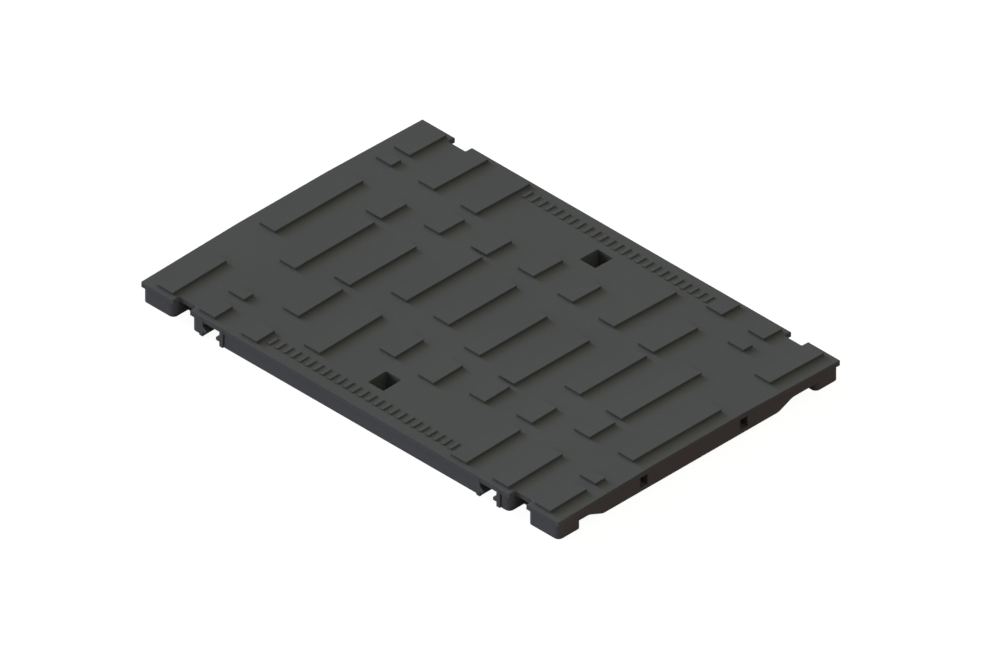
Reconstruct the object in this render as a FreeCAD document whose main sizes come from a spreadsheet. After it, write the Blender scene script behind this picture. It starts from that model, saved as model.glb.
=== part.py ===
import FreeCAD, Part
import Sketcher

import os
import re

# Inspection cover for a pit or drain, one injection-moulded piece.
# A cambered tread plate oversails a low skirt with four corner feet. Raised tread bars stand on the plate,
# and the long sides have open notches and snap gaps, each gap with a barbed tab on either side.
# Millimetres. X runs along the cover, Y across it, Z up. The origin is on the ground under its middle.
# The plan is the same after half a turn, so each long side is drawn once and turned for the other.

SIZES = {
    # plate
    "length": 498.0,
    "width": 336.0,
    "edge_level": 19.5,
    "plate_thick": 5.0,
    "crown": 3.0,
    "crown_flat": 108.0,
    "plate_round": 0.9,
    "end_round": 0.4,
    # notches in the long edges
    "notch_place": 200.4,
    "notch_width": 20.3,
    "notch_depth": 7.7,
    "notch_round": 0.9,
    # skirt under the plate
    "overhang": 1.0,
    "wall": 3.0,
    "back_wall_inset": 18.5,
    "foot_depth": 27.5,
    "recess_place": 200.3,
    "recess_width": 21.6,
    "gap_place": 165.15,
    "gap_width": 19.9,
    "skirt_round": 5.0,
    "base_bevel": 0.3,
    # barbed tabs beside each gap
    "tab_width": 4.0,
    "tab_proud": 1.3,
    "slot_width": 0.8,
    "barb_reach": 4.0,
    "barb_level": 4.7,
    "barb_tip": 3.0,
    "barb_ramp": 3.0,
    "barb_depth": 4.0,
    # end walls, with an arch beside each foot and two windows
    "end_level": 1.75,
    "arch_level": 8.7,
    "ramp_place_near": 122.1,
    "ramp_place_far": 103.8,
    "ramp_run": 16.5,
    "ramp_round": 12.0,
    "window_width": 9.0,
    "window_level": 5.45,
    "window_height": 11.7,
    "window_place_near": 65.4,
    "window_place_far": 53.8,
    "window_depth": 8.0,
    # ribs under the plate
    "web": 2.5,
    "rib_level": 3.8,
    "cross_rib_pitch": 50.0,
    "cross_rib_count": 10,
    "long_rib_count": 5,
    # square lifting holes with a collar below
    "hole_length": 18.5,
    "hole_width": 21.5,
    "hole_place": 126.2,
    "hole_round": 1.0,
    # tread bars
    "bar_width": 18.6,
    "bar_height": 2.5,
    "bar_pitch": 50.0,
    "bar_edge": 0.2,
    # small grip ribs in a row along each long edge
    "grip_width": 3.6,
    "grip_length": 11.0,
    "grip_rise": 1.4,
    "grip_place": 151.5,
    "grip_pitch": 9.0,
    "grip_count": 25,
    # how far a wall or a bar is carried into what it stands on
    "bite": 0.5,
}

# Tread bars of the left half: the place of each bar's two ends across the cover, column by column from the
# end inwards. The right half has the same bars after half a turn.
BAR_ENDS = (
    ((-163.0, -99.0), (-41.0, 64.0), (97.5, 109.0), (119.5, 163.0)),
    ((-163.0, -141.5), (-128.0, -117.0), (-67.0, 28.0), (35.5, 66.0), (98.5, 163.0)),
    ((-163.0, -141.5), (-113.0, -60.0), (-52.0, 27.5), (55.0, 85.0), (98.5, 163.0)),
    ((-138.0, -63.0), (-34.0, 56.0), (61.0, 91.0)),
    ((-98.0, -64.0), (-33.5, 47.0), (67.0, 102.0)),
)
for column, ends in enumerate(BAR_ENDS, start=1):
    for bar, (near, far) in enumerate(ends, start=1):
        SIZES[f"bar_{column}{bar}_near"] = near
        SIZES[f"bar_{column}{bar}_far"] = far

doc = FreeCAD.newDocument("inspection_cover")
sheet = doc.addObject("Spreadsheet::Sheet", "Sizes")
for row, (name, value) in enumerate(SIZES.items(), start=1):
    sheet.set(f"A{row}", name)
    sheet.set(f"B{row}", str(value))
    sheet.setAlias(f"B{row}", name)
doc.recompute()


def formula(text):
    """The text as a formula that looks each named size up in the sheet."""
    return re.sub(r"[a-z]\w*", lambda word: f"Sizes.{word.group()}", text)


def bind(thing, **formulas):
    """Ties properties of a thing to formulas of the sizes."""
    for name, text in formulas.items():
        thing.setExpression(name, formula(text))


def polygon(sketch, corners):
    """Closed outline with straight sides. Each corner is a pair of formulas, measured from the origin."""
    first = sketch.GeometryCount
    count = len(corners)
    rough = [FreeCAD.Vector(place, place * place, 0) for place in range(count + 1)]
    sketch.addGeometry([Part.LineSegment(rough[side], rough[side + 1]) for side in range(count)])
    sketch.addConstraint([
        Sketcher.Constraint("Coincident", first + side, 2, first + (side + 1) % count, 1)
        for side in range(count)
    ])
    for side, corner in enumerate(corners):
        for kind, text in zip(("DistanceX", "DistanceY"), corner):
            index = sketch.addConstraint(Sketcher.Constraint(kind, -1, 1, first + side, 1, 1.0))
            sketch.setExpression(f"Constraints[{index}]", formula(text))


def rectangle(sketch, x_from, x_to, y_from, y_to):
    """Rectangle between four formulas."""
    polygon(sketch, [(x_from, y_from), (x_to, y_from), (x_to, y_to), (x_from, y_to)])


def both_sides(sketch, x_from, x_to, y_from, y_to):
    """Rectangle on the near long side, and the same one after half a turn on the far side."""
    rectangle(sketch, x_from, x_to, y_from, y_to)
    rectangle(sketch, f"-({x_to})", f"-({x_from})", f"-({y_to})", f"-({y_from})")


def origin_part(body, role):
    """A plane or axis of the body's own origin."""
    return next(part for part in body.Origin.OriginFeatures if part.Role == role)


def sketch_in(body, name, role, offset="0"):
    """Empty sketch on one of the body's origin planes, moved along the plane's normal."""
    sketch = body.newObject("Sketcher::SketchObject", name)
    sketch.AttachmentSupport = (origin_part(body, role), [""])
    sketch.MapMode = "FlatFace"
    if offset != "0":
        sketch.setExpression("AttachmentOffset.Base.z", formula(offset))
    return sketch


def feature(body, kind, name, profile, height, **settings):
    """Pad or pocket of a sketch to the height that a formula gives."""
    result = body.newObject(f"PartDesign::{kind}", name)
    result.Profile = profile
    for setting, value in settings.items():
        setattr(result, setting, value)
    bind(result, Length=height)
    doc.recompute()
    return result


def rounded(body, name, radius, wanted, kind="Fillet"):
    """Rounds or bevels the wanted edges of the body as it stands."""
    base = body.Tip
    names = [f"Edge{place}" for place, edge in enumerate(base.Shape.Edges, start=1) if wanted(edge)]
    if not names:
        raise RuntimeError(f"{name} finds no edge")
    result = body.newObject(f"PartDesign::{kind}", name)
    result.Base = (base, names)
    bind(result, **{"Radius" if kind == "Fillet" else "Size": radius})
    doc.recompute()
    return result


def row_of(body, name, original, role, length, count):
    """Row of copies of a feature, spread evenly over a length along an axis."""
    result = body.newObject("PartDesign::LinearPattern", name)
    result.Originals = [original]
    result.Direction = (origin_part(body, role), [""])
    bind(result, Length=length, Occurrences=count)
    body.Tip = result
    doc.recompute()
    return result


def half_turn(body, name, originals):
    """Copy of features, turned half round the upright middle axis."""
    result = body.newObject("PartDesign::PolarPattern", name)
    result.Originals = originals
    result.Axis = (origin_part(body, "Z_Axis"), [""])
    result.Angle = 360
    result.Occurrences = 2
    body.Tip = result
    doc.recompute()
    return result


def ends(edge):
    """Lowest and highest corner of the box round an edge."""
    box = edge.BoundBox
    return (box.XMin, box.YMin, box.ZMin), (box.XMax, box.YMax, box.ZMax)


def runs_along(edge, axis):
    """Whether an edge is a straight line along X, Y or Z, given as 0, 1 or 2."""
    low, high = ends(edge)
    return all((high[side] - low[side] > 1e-4) == (side == axis) for side in range(3))


def size(name):
    """Value of a size as the sheet has it."""
    return float(sheet.get(name))


def top_level(y):
    """Height of the plate's upper face at a place across the cover."""
    slope = size("crown") / (size("width") / 2 - size("crown_flat") / 2)
    return size("edge_level") + min(size("crown"), slope * (size("width") / 2 - abs(y)))


def on_level(edge, height):
    """Whether an edge lies in the plate's upper face, or at a height above it."""
    return all(abs(corner.Z - top_level(corner.Y) - height) < 0.01 for corner in edge.Vertexes)


def cambered(body, name, below, above):
    """Sketch of a layer that follows the camber, from a formula below the top face to one above it."""
    sketch = sketch_in(body, name, "YZ_Plane")
    edge, flat = "width / 2", "crown_flat / 2"
    polygon(sketch, [
        (f"-{edge}", f"edge_level - {below}"),
        (f"-{flat}", f"edge_level + crown - {below}"),
        (flat, f"edge_level + crown - {below}"),
        (edge, f"edge_level - {below}"),
        (edge, f"edge_level + {above}"),
        (flat, f"edge_level + crown + {above}"),
        (f"-{flat}", f"edge_level + crown + {above}"),
        (f"-{edge}", f"edge_level + {above}"),
    ])
    return sketch


# Tread bars: a layer as high as the bars, cut away around each bar, so that every bar keeps the same height
# above the cambered plate. The forty bars stand in ten columns.
tread = doc.addObject("PartDesign::Body", "tread")
tread.AllowCompound = True
tread_section = cambered(tread, "tread_section", "bite", "bar_height")
feature(tread, "Pad", "tread_layer", tread_section, "length", Midplane=True)
tread_top = "edge_level + crown + bar_height + bite"
column_cuts = []
for column, bars in enumerate(BAR_ENDS, start=1):
    place = f"-bar_pitch * {len(BAR_ENDS) - column + 0.5}"
    strip_start = f"{place} - bar_pitch / 2 - bite" if column > 1 else "-length / 2 - bite"
    tread_plan = sketch_in(tread, f"tread_plan_{column}", "XY_Plane")
    rectangle(tread_plan, strip_start, f"{place} + bar_pitch / 2 + bite", "-width / 2 - bite", "width / 2 + bite")
    for bar in range(1, len(bars) + 1):
        rectangle(
            tread_plan,
            f"{place} - bar_width / 2",
            f"{place} + bar_width / 2",
            f"bar_{column}{bar}_near",
            f"bar_{column}{bar}_far",
        )
    column_cuts.append(feature(tread, "Pocket", f"column_{column}", tread_plan, tread_top, Reversed=True))
half_turn(tread, "bars", column_cuts)
bar_height = size("bar_height")
rounded(tread, "bar_edges", "bar_edge", lambda edge: on_level(edge, bar_height), kind="Chamfer")

# Plate: one section drawn out along the cover. Its upper and lower faces are parallel, and rise from the long
# edges to a flat strip along the middle, so that rain runs off.
moulding = doc.addObject("PartDesign::Body", "moulding")
plate_section = cambered(moulding, "plate_section", "plate_thick", "0")
feature(moulding, "Pad", "plate", plate_section, "length", Midplane=True)

# Notches: two in each long edge, open through the plate. The rim of the plate is rounded, notches included.
notch_plan = sketch_in(moulding, "notch_plan", "XY_Plane")
for sign in ("-", ""):
    both_sides(
        notch_plan,
        f"{sign}notch_place - notch_width / 2",
        f"{sign}notch_place + notch_width / 2",
        "-width / 2 - bite",
        "-width / 2 + notch_depth",
    )
feature(moulding, "Pocket", "notches", notch_plan, tread_top, Reversed=True)
notch_floor = size("width") / 2 - size("notch_depth")
rounded(moulding, "notch_corners", "notch_round",
        lambda edge: runs_along(edge, 2) and abs(abs(edge.CenterOfMass.y) - notch_floor) < 0.01)


def on_end_rim(edge):
    """Whether an edge of the upper face lies at an end of the plate."""
    return on_level(edge, 0.0) and abs(abs(edge.CenterOfMass.x) - size("length") / 2) < 0.01


def on_side_rim(edge):
    """Whether an edge of the upper face lies at a long side of the plate or in a notch."""
    middle = edge.CenterOfMass
    at_side = abs(abs(middle.y) - size("width") / 2) < 0.01
    in_notch = (
        abs(middle.y) > notch_floor - 0.01
        and abs(abs(middle.x) - size("notch_place")) < size("notch_width") / 2 + 0.01
    )
    return on_level(edge, 0.0) and (at_side or in_notch)


rounded(moulding, "end_rim", "end_round", on_end_rim)
rounded(moulding, "side_rim", "plate_round", on_side_rim)

# Skirt: a low wall along each long side, set back under the plate. From left to right the near side has a
# corner foot, a recess behind the notch, a short block, a snap gap, the long middle wall, and the same again.
outer_face = "(width / 2 - overhang)"
back_face = "(width / 2 - back_wall_inset)"
inner_face = "(width / 2 - back_wall_inset - wall)"
foot_face = "(width / 2 - overhang - foot_depth)"
end_face = "(length / 2 - overhang)"
foot_side = "(recess_place + recess_width / 2)"
block_side = "(recess_place - recess_width / 2)"
left_gap = ("-gap_place - gap_width / 2", "-gap_place + gap_width / 2")
right_gap = ("gap_place - gap_width / 2", "gap_place + gap_width / 2")
recesses = (
    (f"-{foot_side}", f"-{block_side}"),
    left_gap,
    right_gap,
    (block_side, foot_side),
)
side_outline = [(f"-{end_face}", f"-{outer_face}")]
for start, stop in recesses:
    side_outline += [
        (start, f"-{outer_face}"),
        (start, f"-{back_face}"),
        (stop, f"-{back_face}"),
        (stop, f"-{outer_face}"),
    ]
side_outline += [
    (end_face, f"-{outer_face}"),
    (end_face, f"-{foot_face}"),
    (foot_side, f"-{foot_face}"),
    (foot_side, f"-{inner_face}"),
    (f"-{foot_side}", f"-{inner_face}"),
    (f"-{foot_side}", f"-{foot_face}"),
    (f"-{end_face}", f"-{foot_face}"),
]
skirt_plan = sketch_in(moulding, "skirt_plan", "XY_Plane")
polygon(skirt_plan, side_outline)
polygon(skirt_plan, [(f"-({x})", f"-({y})") for x, y in side_outline])
skirt_top = "edge_level - plate_thick / 2"
feature(moulding, "Pad", "skirt", skirt_plan, skirt_top)

skirt_sides = size("width") / 2 - size("overhang")
foot_faces = skirt_sides - size("foot_depth")
foot_ends = size("length") / 2 - size("overhang")
foot_sides = size("recess_place") + size("recess_width") / 2
block_sides = size("recess_place") - size("recess_width") / 2


def at(value, *places):
    """Whether a value is at one of the places, on either side of the middle."""
    return any(abs(abs(value) - place) < 0.01 for place in places)


def skirt_corner(edge):
    """Whether an edge is an upright outer corner of a foot, or of a block beside a notch."""
    middle = edge.CenterOfMass
    side_corner = at(middle.x, foot_ends, foot_sides, block_sides) and at(middle.y, skirt_sides)
    arch_corner = at(middle.x, foot_ends) and at(middle.y, foot_faces)
    return runs_along(edge, 2) and (side_corner or arch_corner)


rounded(moulding, "skirt_corners", "skirt_round", skirt_corner)
rounded(moulding, "skirt_base", "base_bevel", lambda edge: ends(edge)[1][2] < 0.01, kind="Chamfer")

# End walls: one thin wall between the feet at either end. Its lower edge rises in an S-curve to an arch beside
# each foot. Two windows open right under the plate, each into a small closed box behind the wall.
wall_top = "edge_level - bite"
end_section = sketch_in(moulding, "end_section", "YZ_Plane", f"{end_face} - wall")
in_foot = f"{foot_face} + skirt_round"
polygon(end_section, [
    (f"-({in_foot})", "arch_level"),
    ("-ramp_place_near - ramp_run / 2", "arch_level"),
    ("-ramp_place_near + ramp_run / 2", "end_level"),
    ("ramp_place_far - ramp_run / 2", "end_level"),
    ("ramp_place_far + ramp_run / 2", "arch_level"),
    (in_foot, "arch_level"),
    (in_foot, wall_top),
    (f"-({in_foot})", wall_top),
])
end_wall = feature(moulding, "Pad", "end_wall", end_section, "wall")
box_section = sketch_in(moulding, "box_section", "YZ_Plane", f"{end_face} - window_depth - web")
window_section = sketch_in(moulding, "window_section", "YZ_Plane", f"{end_face} - window_depth")
for place in ("-window_place_near", "window_place_far"):
    rectangle(
        box_section,
        f"{place} - window_width / 2 - web",
        f"{place} + window_width / 2 + web",
        "window_level - web",
        wall_top,
    )
    rectangle(
        window_section,
        f"{place} - window_width / 2",
        f"{place} + window_width / 2",
        "window_level",
        "window_level + window_height",
    )
boxes = feature(moulding, "Pad", "window_boxes", box_section, "window_depth + web - wall + bite")
windows = feature(moulding, "Pocket", "windows", window_section, "window_depth", Reversed=True)
half_turn(moulding, "end_walls", [end_wall, boxes, windows])
ramp_levels = (size("arch_level"), size("end_level"))
ramp_places = [
    size(f"ramp_place_{side}") + turn * size("ramp_run") / 2 for side in ("near", "far") for turn in (-1, 1)
]
rounded(moulding, "end_curves", "ramp_round",
        lambda edge: runs_along(edge, 0) and at(edge.CenterOfMass.x, foot_ends - size("wall") / 2)
        and at(edge.CenterOfMass.y, *ramp_places))

# Snap gaps: a thin upright tab stands proud on either side of each gap, and a slot parts it from the wall. Each
# tab has a barb that reaches into the gap and holds the cover in its frame. The barb is flat below and slopes
# back to the tab above.
tab_front = f"({outer_face} + tab_proud)"
tab_plan = sketch_in(moulding, "tab_plan", "XY_Plane")
slot_plan = sketch_in(moulding, "slot_plan", "XY_Plane")
barb_section = sketch_in(moulding, "barb_section", "XZ_Plane", f"{tab_front} - barb_depth")
for start, stop in (left_gap, right_gap):
    for edge_x, out in ((start, "-"), (stop, "+")):
        into = "+" if out == "-" else "-"
        tab_x = (edge_x, f"{edge_x} {out} tab_width")
        slot_x = (tab_x[1], f"{tab_x[1]} {out} slot_width")
        if out == "-":
            tab_x, slot_x = tab_x[::-1], slot_x[::-1]
        both_sides(tab_plan, *tab_x, f"-{tab_front}", f"-{outer_face} + bite")
        both_sides(slot_plan, *slot_x, f"-{outer_face} - bite", f"-{outer_face} + wall + bite")
        polygon(barb_section, [
            (f"{edge_x} {out} bite", "barb_level"),
            (f"{edge_x} {into} barb_reach", "barb_level"),
            (f"{edge_x} {into} barb_reach", "barb_level + barb_tip"),
            (edge_x, "barb_level + barb_tip + barb_ramp"),
            (f"{edge_x} {out} bite", "barb_level + barb_tip + barb_ramp"),
        ])
feature(moulding, "Pad", "tabs", tab_plan, skirt_top)
barbs = feature(moulding, "Pad", "barbs", barb_section, "barb_depth")
half_turn(moulding, "all_barbs", [barbs])

# Grip ribs: a row of small low ribs along each long edge, between the tread bars.
grip_row = "grip_pitch * (grip_count - 1)"
grip_plan = sketch_in(moulding, "grip_plan", "XY_Plane", wall_top)
for side in ("-", ""):
    rectangle(
        grip_plan,
        f"-{grip_row} / 2 - grip_width / 2",
        f"-{grip_row} / 2 + grip_width / 2",
        f"{side}grip_place - grip_length / 2",
        f"{side}grip_place + grip_length / 2",
    )
grip = feature(moulding, "Pad", "grip", grip_plan, "bite + grip_rise")
row_of(moulding, "grips", grip, "X_Axis", grip_row, "grip_count")
grip_level = size("edge_level") + size("grip_rise")
rounded(moulding, "grip_edges", "bar_edge", lambda edge: all(at(end[2], grip_level) for end in ends(edge)),
        kind="Chamfer")

# Ribs: crossing ribs stiffen the plate from below. The outer long ribs run flush with the collars of the holes.
row_x = "cross_rib_pitch * (cross_rib_count - 1)"
row_y = "(2 * hole_place - hole_width - web)"
cross_plan = sketch_in(moulding, "cross_rib_plan", "XY_Plane", "rib_level")
rectangle(
    cross_plan,
    f"-{row_x} / 2 - web / 2",
    f"-{row_x} / 2 + web / 2",
    f"-{inner_face} - bite",
    f"{inner_face} + bite",
)
cross_rib = feature(moulding, "Pad", "cross_rib", cross_plan, f"{wall_top} - rib_level")
row_of(moulding, "cross_ribs", cross_rib, "X_Axis", row_x, "cross_rib_count")
long_plan = sketch_in(moulding, "long_rib_plan", "XY_Plane", "rib_level")
rectangle(long_plan, f"-{row_x} / 2", f"{row_x} / 2", f"-{row_y} / 2 - web / 2", f"-{row_y} / 2 + web / 2")
long_rib = feature(moulding, "Pad", "long_rib", long_plan, f"{wall_top} - rib_level")
row_of(moulding, "long_ribs", long_rib, "Y_Axis", row_y, "long_rib_count")

# Hollows: feet, blocks and the long middle wall are open below, each with walls of one thickness. Webs split
# the long wall into cells.
hollow_plan = sketch_in(moulding, "hollow_plan", "XY_Plane")
near_out = f"-{outer_face} + wall"
near_back = f"-{back_face}"
for sign in ("-", ""):
    foot_from, foot_to = f"{foot_side} + wall", f"{end_face} - wall"
    if sign:
        foot_from, foot_to = f"-({foot_to})", f"-({foot_from})"
    both_sides(hollow_plan, foot_from, foot_to, near_out, f"-{foot_face} - wall")
both_sides(hollow_plan, f"-{block_side} + wall", f"{left_gap[0]} - wall", near_out, near_back)
both_sides(hollow_plan, f"{right_gap[1]} + wall", f"{block_side} - wall", near_out, near_back)
cell = "(cross_rib_pitch - web) / 2"
last_cell = f"2 * cross_rib_pitch + {cell}"
both_sides(hollow_plan, f"{left_gap[1]} + wall", f"-{last_cell} - web", near_out, near_back)
both_sides(hollow_plan, f"{last_cell} + web", f"{right_gap[0]} - wall", near_out, near_back)
feature(moulding, "Pocket", "hollows", hollow_plan, "edge_level - plate_thick", Reversed=True)
cell_plan = sketch_in(moulding, "cell_plan", "XY_Plane")
for sign in ("-", ""):
    rectangle(
        cell_plan,
        f"-2 * cross_rib_pitch - {cell}",
        f"-2 * cross_rib_pitch + {cell}",
        f"{sign}({outer_face} - wall)",
        f"{sign}{back_face}",
    )
cell_cut = feature(moulding, "Pocket", "cell", cell_plan, "edge_level - plate_thick", Reversed=True)
row_of(moulding, "cells", cell_cut, "X_Axis", "4 * cross_rib_pitch", "5")
feature(moulding, "Pocket", "slots", slot_plan, "edge_level - plate_thick", Reversed=True)

# Lifting holes: a square hole near each long side, with a collar that reaches down almost to the ground.
collar_plan = sketch_in(moulding, "collar_plan", "XY_Plane", "end_level")
both_sides(
    collar_plan,
    "-hole_length / 2 - web",
    "hole_length / 2 + web",
    "-hole_place - hole_width / 2 - web",
    "-hole_place + hole_width / 2 + web",
)
feature(moulding, "Pad", "collars", collar_plan, f"{wall_top} - end_level")
hole_plan = sketch_in(moulding, "hole_plan", "XY_Plane")
both_sides(
    hole_plan,
    "-hole_length / 2",
    "hole_length / 2",
    "-hole_place - hole_width / 2",
    "-hole_place + hole_width / 2",
)
feature(moulding, "Pocket", "holes", hole_plan, tread_top, Reversed=True)
hole_sides = [size("hole_place") + turn * size("hole_width") / 2 for turn in (-1, 1)]
rounded(moulding, "hole_corners", "hole_round",
        lambda edge: runs_along(edge, 2) and at(edge.CenterOfMass.x, size("hole_length") / 2)
        and at(edge.CenterOfMass.y, *hole_sides))

# The tread bars and the rest are one moulding, and so one solid.
cover = doc.addObject("Part::MultiFuse", "cover")
cover.Shapes = [moulding, tread]
cover.Refine = True
cover.Placement = FreeCAD.Placement()
doc.recompute()

# Every step has to give a sound shape, and the cover one solid, before the cover is written.
for thing in doc.Objects:
    if "Invalid" in thing.State or "Error" in thing.State:
        raise RuntimeError(f"{thing.Name} is {thing.State}")
if not cover.Shape.isValid() or len(cover.Shape.Solids) != 1:
    raise RuntimeError(f"the cover has {len(cover.Shape.Solids)} solids")
os.makedirs("parts", exist_ok=True)
cover.Shape.exportStep("parts/cover.step")
box = cover.Shape.BoundBox
print(f"cover {box.XLength:.2f} x {box.YLength:.2f} x {box.ZLength:.2f}, {cover.Shape.Volume:.0f} cubic mm")
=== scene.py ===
import bpy
from mathutils import Matrix, Vector


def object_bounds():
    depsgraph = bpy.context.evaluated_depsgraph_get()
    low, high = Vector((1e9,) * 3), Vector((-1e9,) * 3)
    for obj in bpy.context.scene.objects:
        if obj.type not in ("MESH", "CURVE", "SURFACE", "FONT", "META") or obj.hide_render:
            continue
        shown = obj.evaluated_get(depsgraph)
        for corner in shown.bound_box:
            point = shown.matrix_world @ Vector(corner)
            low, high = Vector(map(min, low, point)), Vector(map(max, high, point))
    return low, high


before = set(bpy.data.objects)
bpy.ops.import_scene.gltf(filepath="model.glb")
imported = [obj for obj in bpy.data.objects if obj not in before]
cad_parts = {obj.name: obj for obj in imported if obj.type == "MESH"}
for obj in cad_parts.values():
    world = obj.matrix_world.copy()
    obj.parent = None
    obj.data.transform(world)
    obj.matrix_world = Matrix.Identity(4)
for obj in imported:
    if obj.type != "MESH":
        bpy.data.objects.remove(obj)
cad_low, cad_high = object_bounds()

# The cover is one piece, injection moulded in dark grey recycled plastic. Its faces come matte and very
# finely grained from the tool, and the grey is a little uneven where the melt has flowed.
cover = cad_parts["cover"]
plastic = bpy.data.materials.new("matte_grey_plastic")
plastic.use_nodes = True
nodes, links = plastic.node_tree.nodes, plastic.node_tree.links
shader = nodes["Principled BSDF"]
shader.inputs["Roughness"].default_value = 0.7
shader.inputs["Specular IOR Level"].default_value = 0.05
place = nodes.new("ShaderNodeTexCoord")


def noise_in_plastic(waves_to_the_metre, detail):
    """Noise that lies in the plastic itself, from 0 to 1."""
    noise = nodes.new("ShaderNodeTexNoise")
    noise.inputs["Scale"].default_value = waves_to_the_metre
    noise.inputs["Detail"].default_value = detail
    links.new(place.outputs["Object"], noise.inputs["Vector"])
    return noise.outputs["Fac"]


# Flow: broad, faint clouds in the grey.
darker_grey = (0.0690, 0.0736, 0.0716, 1.0)
paler_grey = (0.0745, 0.0796, 0.0774, 1.0)
clouds = nodes.new("ShaderNodeValToRGB")
for stop, position, grey in zip(clouds.color_ramp.elements, (0.3, 0.7), (darker_grey, paler_grey)):
    stop.position = position
    stop.color = grey
links.new(noise_in_plastic(9.0, 4.0), clouds.inputs["Fac"])

# Speckle: the pigment of recycled plastic, in tiny paler and darker dots.
speckle_strength = 0.06
dots = nodes.new("ShaderNodeMapRange")
dots.inputs["From Min"].default_value = 0.25
dots.inputs["From Max"].default_value = 0.75
dots.inputs["To Min"].default_value = 1.0 - speckle_strength
dots.inputs["To Max"].default_value = 1.0 + speckle_strength
links.new(noise_in_plastic(900.0, 2.0), dots.inputs["Value"])
speckled = nodes.new("ShaderNodeVectorMath")
speckled.operation = "SCALE"
links.new(clouds.outputs["Color"], speckled.inputs[0])
links.new(dots.outputs["Result"], speckled.inputs["Scale"])
links.new(speckled.outputs["Vector"], shader.inputs["Base Color"])

# Grain: the spark-eroded face of the tool, and edges softened by the mould.
edge_radius = 0.0003
grain_depth = 0.0001
soft_edge = nodes.new("ShaderNodeBevel")
soft_edge.samples = 4
soft_edge.inputs["Radius"].default_value = edge_radius
grain = nodes.new("ShaderNodeBump")
grain.inputs["Strength"].default_value = 0.25
grain.inputs["Distance"].default_value = grain_depth
links.new(noise_in_plastic(1400.0, 3.0), grain.inputs["Height"])
links.new(soft_edge.outputs["Normal"], grain.inputs["Normal"])
links.new(grain.outputs["Normal"], shader.inputs["Normal"])
for slot in cover.material_slots:
    slot.material = plastic

# Studio floor: a wide plain sheet that the cover stands on. The camera sees it white, with a faint contact
# shadow, and it throws only a little light back up at the cover.
floor_half = 4.0
floor_grey = 0.13
floor_glow = 0.95
corners = [(x * floor_half, y * floor_half, 0) for x, y in ((-1, -1), (1, -1), (1, 1), (-1, 1))]
sheet = bpy.data.meshes.new("studio_floor")
sheet.from_pydata(corners, [], [(0, 1, 2, 3)])
floor = bpy.data.objects.new("studio_floor", sheet)
bpy.context.scene.collection.objects.link(floor)
paper = bpy.data.materials.new("white_paper")
paper.use_nodes = True
nodes, links = paper.node_tree.nodes, paper.node_tree.links
nodes.remove(nodes["Principled BSDF"])


def seen_as_backdrop(nodes, links):
    """Gives 1 where the paper or the room is looked at, and 0 where it only lights the cover."""
    rays = nodes.new("ShaderNodeLightPath")
    seen = rays.outputs["Is Camera Ray"]
    for kind in ("Is Glossy Ray", "Is Transmission Ray"):
        either = nodes.new("ShaderNodeMath")
        either.operation = "MAXIMUM"
        links.new(seen, either.inputs[0])
        links.new(rays.outputs[kind], either.inputs[1])
        seen = either.outputs["Value"]
    return seen


dull = nodes.new("ShaderNodeBsdfDiffuse")
dull.inputs["Color"].default_value = (floor_grey, floor_grey, floor_grey, 1.0)
glow = nodes.new("ShaderNodeMapRange")
glow.inputs["To Max"].default_value = floor_glow
links.new(seen_as_backdrop(nodes, links), glow.inputs["Value"])
white = nodes.new("ShaderNodeEmission")
links.new(glow.outputs["Result"], white.inputs["Strength"])
both = nodes.new("ShaderNodeAddShader")
links.new(dull.outputs["BSDF"], both.inputs[0])
links.new(white.outputs["Emission"], both.inputs[1])
links.new(both.outputs["Shader"], nodes["Material Output"].inputs["Surface"])
floor.data.materials.append(paper)

# Studio light: a dim, slightly warm room that shows white, five broad lamps, mostly low at the left, and two
# cards on the ground, a cool one along the near side and a faint red one at the right end. The low lamps draw
# a soft shadow beside each bar.
world = bpy.data.worlds.new("studio_room")
bpy.context.scene.world = world
world.use_nodes = True
nodes, links = world.node_tree.nodes, world.node_tree.links
room = nodes["Background"]
room.inputs["Color"].default_value = (1.0, 0.875, 0.81, 1.0)
room.inputs["Strength"].default_value = 0.32
backdrop = nodes.new("ShaderNodeBackground")
backdrop.inputs["Color"].default_value = (1.0, 1.0, 1.0, 1.0)
backdrop.inputs["Strength"].default_value = 1.0
choice = nodes.new("ShaderNodeMixShader")
links.new(seen_as_backdrop(nodes, links), choice.inputs["Fac"])
links.new(room.outputs["Background"], choice.inputs[1])
links.new(backdrop.outputs["Background"], choice.inputs[2])
links.new(choice.outputs["Shader"], nodes["World Output"].inputs["Surface"])


def set_up_light(name, light, energy, colour, comes_from):
    """Adds a light to the studio that shines from the given direction."""
    light.energy = energy
    light.color = colour
    stand = bpy.data.objects.new(name, light)
    stand.rotation_mode = "QUATERNION"
    stand.rotation_quaternion = Vector(comes_from).to_track_quat("Z", "Y")
    bpy.context.scene.collection.objects.link(stand)
    return stand


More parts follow.
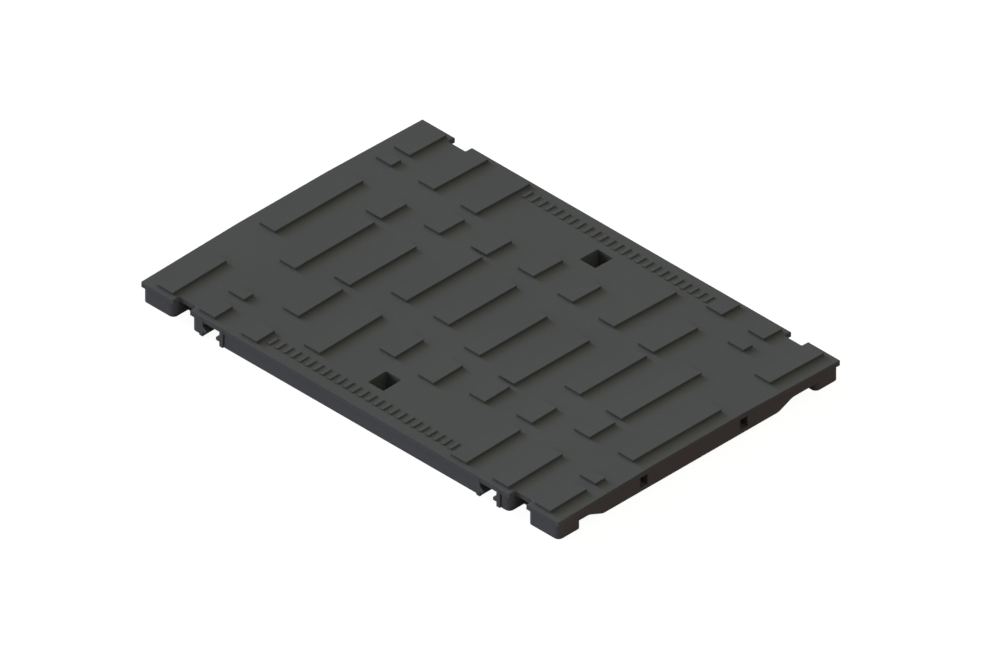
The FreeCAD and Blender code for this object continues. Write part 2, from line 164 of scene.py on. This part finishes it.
lamp_breadth = 0.35
lamps = (
    ("low_left_lamp", (-0.970, 0.0, 0.242), 3.85, (0.74, 0.79, 1.0)),
    ("high_left_lamp", (-0.809, 0.0, 0.588), 0.71, (1.0, 0.965, 0.73)),
    ("near_left_lamp", (-0.692, -0.692, 0.208), 1.10, (0.73, 0.80, 1.0)),
    ("far_lamp", (0.0, 0.766, 0.643), 0.29, (0.86, 1.0, 0.77)),
    ("right_lamp", (0.707, 0.0, 0.707), 0.41, (1.0, 0.98, 0.81)),
)
for name, comes_from, energy, colour in lamps:
    lamp = bpy.data.lights.new(name, "SUN")
    lamp.angle = lamp_breadth
    set_up_light(name, lamp, energy, colour, comes_from)

card_height = 0.0005
from_below = (0.0, 0.0, -1.0)
cards = (
    ("near_card", (0.0, -0.3172), (1.2, 0.3), 0.55, (0.90, 0.81, 1.0)),
    ("end_card", (0.3982, 0.0), (0.3, 0.9), 0.14, (1.0, 0.05, 0.03)),
)
for name, middle, size, energy, colour in cards:
    card = bpy.data.lights.new(name, "AREA")
    card.shape = "RECTANGLE"
    card.size, card.size_y = size
    laid = set_up_light(name, card, energy, colour, from_below)
    laid.location = (*middle, card_height)
    laid.visible_camera = False
    laid.visible_glossy = False

# Camera: a parallel view along a cube's diagonal, as such covers are drawn in a catalogue. The cover stands
# a little left of and above the middle of the picture.
picture_width = 0.8429
shift_right = 0.007913
shift_down = 0.004837
camera_distance = 2.0
right = Vector((1, 1, 0)).normalized()
up = Vector((-1, 1, 2)).normalized()
back = Vector((1, -1, 1)).normalized()
lens = bpy.data.cameras.new("camera")
lens.type = "ORTHO"
lens.ortho_scale = picture_width
lens.clip_end = 20.0
camera = bpy.data.objects.new("camera", lens)
middle_of_cover = (Vector(cad_low) + Vector(cad_high)) / 2
stands_at = middle_of_cover + right * shift_right - up * shift_down + back * camera_distance
camera.matrix_world = Matrix.Translation(stands_at) @ Matrix((right, up, back)).transposed().to_4x4()
bpy.context.scene.collection.objects.link(camera)
bpy.context.scene.camera = camera
bpy.context.scene.view_settings.view_transform = "Standard"
